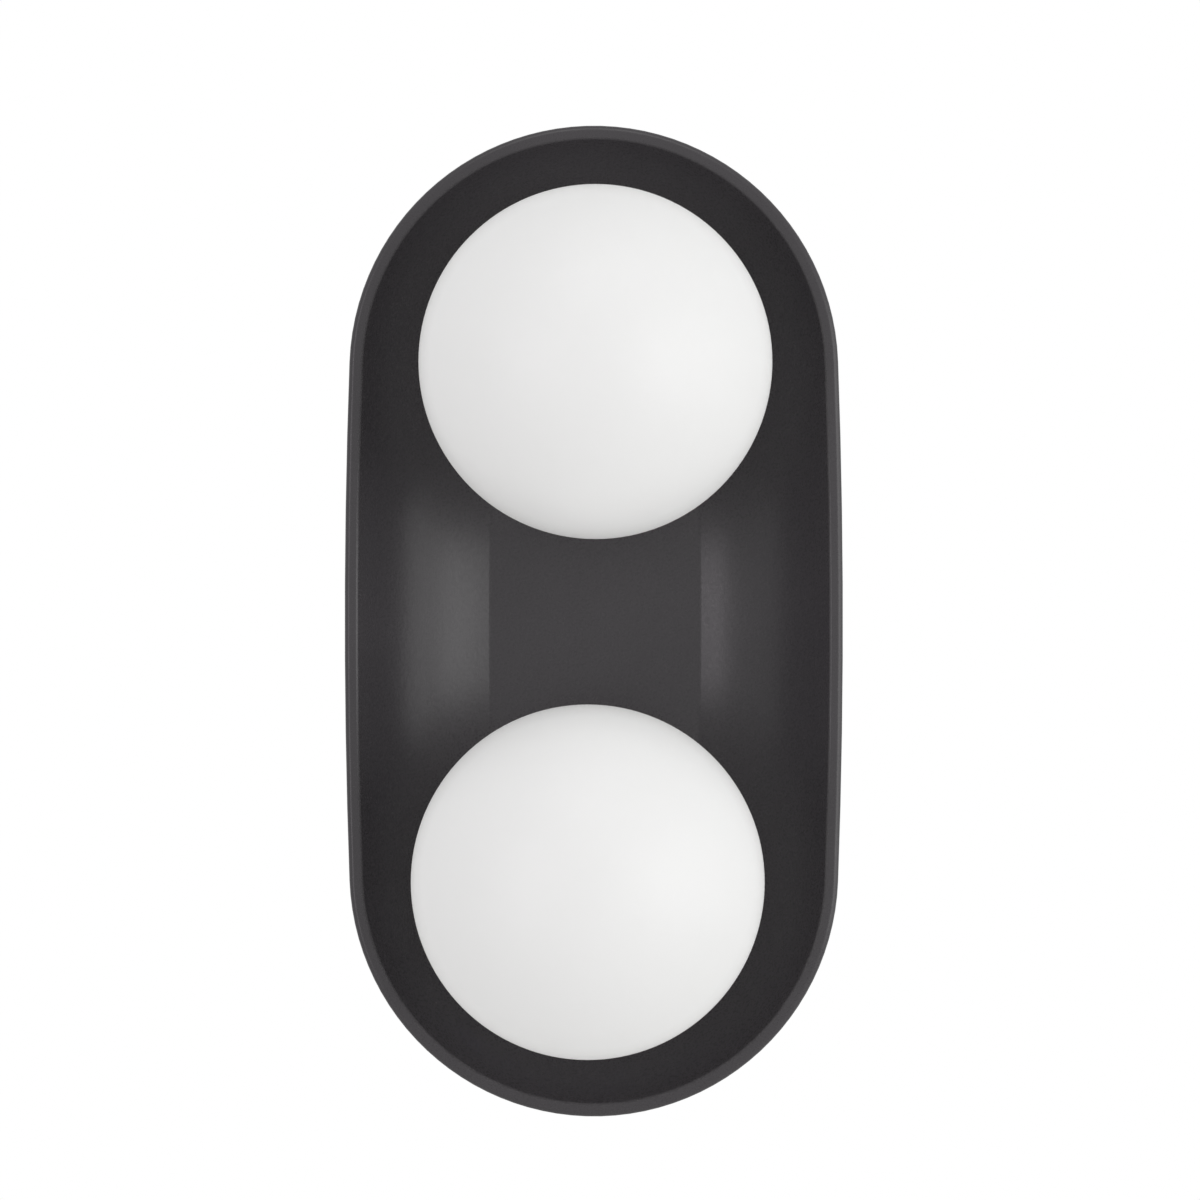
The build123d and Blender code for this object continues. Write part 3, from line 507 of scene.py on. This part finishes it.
def thread_skin(crest, root, pitch, start_y, end_y):
    """A closed threaded rod round the Y axis, from one Y to the other, all in millimetres."""
    clear_selection()
    half = pitch / 2
    bpy.ops.mesh.primitive_circle_add(vertices=4, radius=half * MM, location=(0, (start_y - pitch) * MM, 0))
    rod = bpy.context.object
    bpy.ops.object.mode_set(mode="EDIT")
    bpy.ops.transform.resize(value=((crest - root) / half, 1, 1))
    bpy.ops.transform.translate(value=(root * MM, 0, 0))
    bpy.ops.mesh.select_mode(type="VERT")
    mesh = bmesh.from_edit_mesh(rod.data)
    for vertex in mesh.verts:
        vertex.select_set(vertex.co.x < (root - 0.01) * MM)
    mesh.select_flush_mode()
    bmesh.update_edit_mesh(rod.data)
    bpy.ops.mesh.delete(type="VERT")
    bpy.ops.object.mode_set(mode="OBJECT")
    screw = rod.modifiers.new("thread", "SCREW")
    screw.axis = "Y"
    screw.screw_offset = pitch * MM
    screw.iterations = int((end_y - start_y) / pitch) + 3
    screw.steps = screw.render_steps = steps_in_a_turn
    screw.use_merge_vertices = True
    screw.merge_threshold = 0.001 * MM
    apply_modifiers(rod)
    apply_place(rod)
    bpy.ops.object.mode_set(mode="EDIT")
    for plane_y, outwards in ((start_y, -1), (end_y, 1)):
        bpy.ops.mesh.select_all(action="SELECT")
        bpy.ops.mesh.bisect(plane_co=(0, plane_y * MM, 0), plane_no=(0, outwards, 0), use_fill=True,
                            clear_outer=True)
    bpy.ops.mesh.select_all(action="SELECT")
    bpy.ops.mesh.normals_make_consistent(inside=False)
    bpy.ops.object.mode_set(mode="OBJECT")
    return rod


# %% [markdown]
# The thread's ends need a chamfer, and the nipples a bore for the wires. Both belong to a blank: a cylinder
# as long as the rod, its two ends bevelled, and for a tube both end faces inset and bridged into a hole. A
# Boolean then keeps only what is inside both, which is how a lathe would leave it.

# %% A turned blank, and the thread cut into it
blank_sides = 48


def turned_blank(radius, start_y, end_y, edge, bore=None):
    """A bevelled rod or tube round the Y axis, in millimetres."""
    clear_selection()
    bpy.ops.mesh.primitive_cylinder_add(
        vertices=blank_sides, radius=radius * MM, depth=(end_y - start_y) * MM,
        location=(0, (start_y + end_y) / 2 * MM, 0), rotation=(pi / 2, 0, 0),
    )
    blank = bpy.context.object
    apply_place(blank)
    bpy.ops.object.mode_set(mode="EDIT")
    select_faces(blank, lambda middle, normal: abs(normal.y) > 0.9)
    if bore:
        bpy.ops.mesh.inset(thickness=(radius - bore) * MM, use_even_offset=True)
        bpy.ops.mesh.bridge_edge_loops()
        select_faces(blank, lambda middle, normal: abs(normal.y) > 0.9)
    bpy.ops.mesh.region_to_loop()
    bpy.ops.mesh.bevel(offset=edge * MM, segments=2, affect="EDGES")
    bpy.ops.object.mode_set(mode="OBJECT")
    return blank


def keep_common(piece, other, operation="INTERSECT"):
    """Keeps what both solids share, or takes the other away, and deletes the other."""
    cut = piece.modifiers.new("cut", "BOOLEAN")
    cut.operation = operation
    cut.solver = "EXACT"
    cut.object = other
    apply_modifiers(piece)
    bpy.data.objects.remove(other)
    return piece


# %% [markdown]
# The nipples are hollow threaded tubes that clamp cup, dish and pan together and let the wires through. One
# is modelled at the upper lamp, and the lower one is a copy of it. The two studs are solid and smaller.

# %% Nipples and studs
depth_over_pitch = 0.61  # of a metric thread


def threaded(node, crest, pitch, edge, bore=None):
    """A threaded rod or tube in a node's box, all in millimetres."""
    low, high = node_box(node)
    rod = thread_skin(crest, crest - depth_over_pitch * pitch, pitch, low.y, high.y)
    keep_common(rod, turned_blank(crest, low.y, high.y, edge, bore))
    rod.data.transform(Matrix.Translation(((low.x + high.x) / 2 * MM, 0, (low.z + high.z) / 2 * MM)))
    return smooth(rod)


to_lower = Matrix.Translation(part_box("lower_nipple")[0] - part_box("upper_nipple")[0])
nipple = threaded("upper_nipple", 5.0, 1.0, 0.4, bore=3.5)
hang(copy_with(nipple, to_lower), "lower_nipple_thread", "lamp_body", "zinc_steel", "lower_nipple")
hang(nipple, "upper_nipple_thread", "lamp_body", "zinc_steel", "upper_nipple")
hang(threaded("earth_stud", 2.0, 0.7, 0.3), "earth_stud_thread", "lamp_body", "zinc_steel", "earth_stud")
hang(threaded("terminal_stud", 1.5, 0.5, 0.25), "terminal_stud_thread", "lamp_body", "zinc_steel",
     "terminal_stud")

# %% [markdown]
# A hexagon nut is a hexagon bar whose corners the lathe has taken off at both ends. Here too a turned blank
# does it: a bored disc just wide enough to leave the corners, bevelled so far in that the flats keep their
# full width. What a six-sided cylinder and that blank share is the nut.

# %% Nuts
def hex_nut(node, flats, bore):
    low, high = node_box(node)
    corner = flats / 2 / cos(pi / 6)
    clear_selection()
    bpy.ops.mesh.primitive_cylinder_add(
        vertices=6, radius=corner * MM, depth=(high.y - low.y) * MM,
        location=(0, (low.y + high.y) / 2 * MM, 0), rotation=(pi / 2, 0, 0),
    )
    bar = bpy.context.object
    apply_place(bar)
    bar.data.transform(Matrix.Rotation(pi / 6, 4, "Y"))
    keep_common(bar, turned_blank(corner * 0.995, low.y, high.y, (corner - flats / 2) * 0.9, bore))
    bar.data.transform(Matrix.Translation(((low.x + high.x) / 2 * MM, 0, (low.z + high.z) / 2 * MM)))
    return smooth(bar, 25)


nut = hex_nut("upper_lock_nut", 14.0, 5.0)
hang(copy_with(nut, to_lower), "lower_clamp_nut", "lamp_body", "zinc_steel", "lower_lock_nut")
hang(nut, "upper_clamp_nut", "lamp_body", "zinc_steel", "upper_lock_nut")
hang(hex_nut("earth_nut", 7.0, 2.0), "earth_clamp_nut", "lamp_body", "brass", "earth_nut")
hang(hex_nut("terminal_nut", 5.5, 1.5), "terminal_clamp_nut", "lamp_body", "zinc_steel", "terminal_nut")

# %% [markdown]
# The two lock screws are turned by hand or with a coin, so their heads are knurled and slotted. The head is
# a turned blank. Every second face round it is inset and pushed in for the knurl, and a cutter takes out
# the slot. The threaded shank is joined on behind. The screw is modelled along Y and then turned: the right
# one to +X, and the left one to -X, by a turn and not by a mirror, which would make its thread left-handed.

# %% Lock screws
low, high = node_box("right_lock_screw")
washer_high = node_box("right_screw_washer")[1]
head_radius, head_start, slot_width, slot_depth = 5.0, washer_high.x + 0.05, 0.9, 1.1
head = turned_blank(head_radius, head_start, high.x, 0.5)
bpy.ops.object.mode_set(mode="EDIT")
knurl_step = 2 * pi / blank_sides


def every_second(middle, normal):
    turn = Vector((middle.x, middle.z)).angle_signed(Vector((1, 0)))
    return abs(normal.y) < 0.1 and round(turn / knurl_step - 0.5) % 2 == 0


grooves = select_faces(head, every_second)
bpy.ops.mesh.inset(thickness=0.12 * MM, depth=-0.22 * MM, use_individual=True)
bpy.ops.object.mode_set(mode="OBJECT")
clear_selection()
bpy.ops.mesh.primitive_cube_add(size=1, location=(0, high.x * MM, 0))
cutter = bpy.context.object
cutter.scale = (slot_width * MM, 2 * slot_depth * MM, 3 * head_radius * MM)
apply_place(cutter)
keep_common(head, cutter, "DIFFERENCE")
shank_radius, shank_root, shank_pitch = 2.0, 1.6, 0.7
shank_end = head_start + 0.3  # a little inside the head
shank = thread_skin(shank_radius, shank_root, shank_pitch, low.x, shank_end)
keep_common(shank, turned_blank(shank_radius, low.x, shank_end, 0.3))
clear_selection()
shank.select_set(True)
head.select_set(True)
bpy.context.view_layer.objects.active = head
bpy.ops.object.join()
lock_screw = smooth(head, 30)
lock_place = Matrix.Translation((0, (low.y + high.y) / 2 * MM, 0))
print("knurl of", grooves, "grooves")
for side, turn in (("left", pi / 2), ("right", -pi / 2)):
    piece = copy_with(lock_screw, Matrix.Rotation(turn, 4, "Z"), lock_place)
    hang(piece, f"{side}_knurled_screw", f"{side}_screw", "black_steel", f"{side}_lock_screw")
bpy.data.objects.remove(lock_screw)

# %% [markdown]
# A globe is blown: a thin even ball that runs into a short neck, with one turn of a coarse thread moulded
# on it. It starts as a sphere with its poles along Y. The faces inside the neck's root are deleted, and the
# open edge is pulled out ring by ring into the root's curve and the neck. Solidify then gives the wall its
# thickness inwards, and a bevel rounds the neck's rim. All of it is one skin, so light can scatter in it.

# %% Globe shell
low, high = node_box("upper_globe")
globe_radius = (high.z - low.z) / 2
globe_z = (low.z + high.z) / 2
globe_y = low.y + globe_radius
neck_radius, root_radius, globe_wall = 19.8, 1.0, 2.5
globe_rings, rings_cut = 96, 11  # from pole to pole, and how many of them the neck takes
clear_selection()
bpy.ops.mesh.primitive_uv_sphere_add(
    segments=128, ring_count=globe_rings, radius=globe_radius * MM,
    location=(0, globe_y * MM, globe_z * MM), rotation=(pi / 2, 0, 0),
)
globe = bpy.context.object
apply_place(globe)
bpy.ops.object.mode_set(mode="EDIT")
cut_angle = rings_cut * pi / globe_rings
cut_radius = globe_radius * sin(cut_angle)


def in_the_neck(middle, normal):
    return middle.y > globe_y * MM and Vector((middle.x, middle.z - globe_z * MM)).length < cut_radius * MM


select_faces(globe, in_the_neck)
bpy.ops.mesh.delete(type="FACE")
bpy.ops.mesh.select_mode(type="EDGE")
bpy.ops.mesh.select_all(action="DESELECT")
bpy.ops.mesh.select_non_manifold(extend=False, use_wire=False, use_multi_face=False,
                                 use_non_contiguous=False, use_verts=False)
root_y = globe_y + sqrt((globe_radius + root_radius) ** 2 - (neck_radius + root_radius) ** 2)
rings = [(cut_radius, globe_y + globe_radius * cos(cut_angle))]
first = atan2(globe_y - root_y, -neck_radius - root_radius)
for step in range(5):
    turn = first + (-pi - first) * step / 4
    rings.append((neck_radius + root_radius * (1 + cos(turn)), root_y + root_radius * sin(turn)))
rings += [(neck_radius, root_y + part * (high.y - root_y)) for part in (0.3, 0.6, 0.85, 1.0)]
for (radius_now, y_now), (radius_next, y_next) in zip(rings, rings[1:]):
    bpy.ops.mesh.extrude_region_move(TRANSFORM_OT_translate={"value": (0, (y_next - y_now) * MM, 0)})
    grow = radius_next / radius_now
    bpy.ops.transform.resize(value=(grow, 1, grow), center_override=(0, 0, globe_z * MM))
bpy.ops.object.mode_set(mode="OBJECT")
wall = globe.modifiers.new("wall", "SOLIDIFY")
wall.thickness = globe_wall * MM
wall.offset = -1
wall.use_even_offset = True
rim_round = globe.modifiers.new("rim", "BEVEL")
rim_round.width = 0.7 * MM
rim_round.segments = 3
rim_round.limit_method = "ANGLE"
rim_round.angle_limit = radians(60)
apply_modifiers(globe)
print("globe shell in", len(rings), "neck rings:", [(round(r, 2), round(y, 2)) for r, y in rings])

# %% [markdown]
# The neck's thread climbs 4 mm in a turn, and the cup has the same thread inside, half a pitch on, so the
# globe screws out along it. Each ridge is a small round section, filled so that its ends are closed, and
# turned about the lamp's axis by the Screw modifier. Its two end caps are then pushed into the wall that
# it stands on, so that the ridge runs out as a moulded one does. A thread has play, so a globe need not sit
# dead straight: the upper one leans about a degree to the right and the lower one to the left, each turned
# about the middle of its neck.

# %% Ridges on the neck and in the cup
thread_pitch = 4.0


def ridge(base_radius, crest, width, start_y, turn):
    """A helical ridge about the upper lamp's axis, which climbs towards -Y; all in millimetres."""
    clear_selection()
    bpy.ops.mesh.primitive_circle_add(vertices=12, radius=width / 2 * MM, location=(0, 0, globe_z * MM))
    piece = bpy.context.object
    bpy.ops.object.mode_set(mode="EDIT")
    bpy.ops.transform.resize(value=(2.3 * abs(crest - base_radius) / width, 1, 1))
    middle = base_radius - 0.15 * (crest - base_radius)
    bpy.ops.transform.translate(value=(middle * MM, start_y * MM, 0))
    bpy.ops.object.mode_set(mode="OBJECT")
    screw = piece.modifiers.new("ridge", "SCREW")
    screw.axis = "Y"
    screw.angle = -radians(turn)
    screw.screw_offset = -thread_pitch * turn / 360 * MM
    screw.steps = screw.render_steps = turn // 4
    apply_modifiers(piece)
    apply_place(piece)
    bpy.ops.object.mode_set(mode="EDIT")
    bpy.ops.mesh.select_mode(type="EDGE")
    bpy.ops.mesh.select_all(action="DESELECT")
    bpy.ops.mesh.select_non_manifold()
    bpy.ops.mesh.fill_holes(sides=0)
    bpy.ops.mesh.select_all(action="SELECT")
    bpy.ops.mesh.normals_make_consistent(inside=False)
    caps = [face.calc_center_median() for face in bmesh.from_edit_mesh(piece.data).faces
            if len(face.verts) > 4]
    for cap in caps:
        select_faces(piece, lambda middle, normal: (middle - cap).length < 0.01 * MM)
        outwards = Vector((cap.x, 0, cap.z - globe_z * MM)).normalized()
        bpy.ops.transform.translate(value=outwards * 1.4 * (base_radius - crest) * MM)
    bpy.ops.object.mode_set(mode="OBJECT")
    print("ridge with", len(caps), "caps")
    return piece


ridge_width, ridge_turn = 1.2, 400  # in millimetres and degrees
neck_ridge = ridge(neck_radius, neck_radius + 0.5, ridge_width, high.y - 2.4, ridge_turn)
smooth(keep_common(globe, neck_ridge, "UNION"), 40)
neck_middle = Matrix.Translation((0, (high.y - 4) * MM, globe_z * MM))
for name, lean, move in (("lower", -1.3, to_lower), ("upper", 1.1, Matrix.Identity(4))):
    askew = neck_middle @ Matrix.Rotation(radians(lean), 4, "Z") @ neck_middle.inverted()
    piece = copy_with(globe, askew, move)
    hang(piece, f"{name}_opal_globe", f"{name}_shade", "opal_glass", f"{name}_globe")
bpy.data.objects.remove(globe)
cup_bore, cup_crest = 20.6, 20.05
cup_ridge = smooth(ridge(cup_bore, cup_crest, ridge_width, high.y - 0.4, ridge_turn), 60)
hang(copy_with(cup_ridge, to_lower), "lower_cup_thread", "lamp_body", "cup_black")
hang(cup_ridge, "upper_cup_thread", "lamp_body", "cup_black")
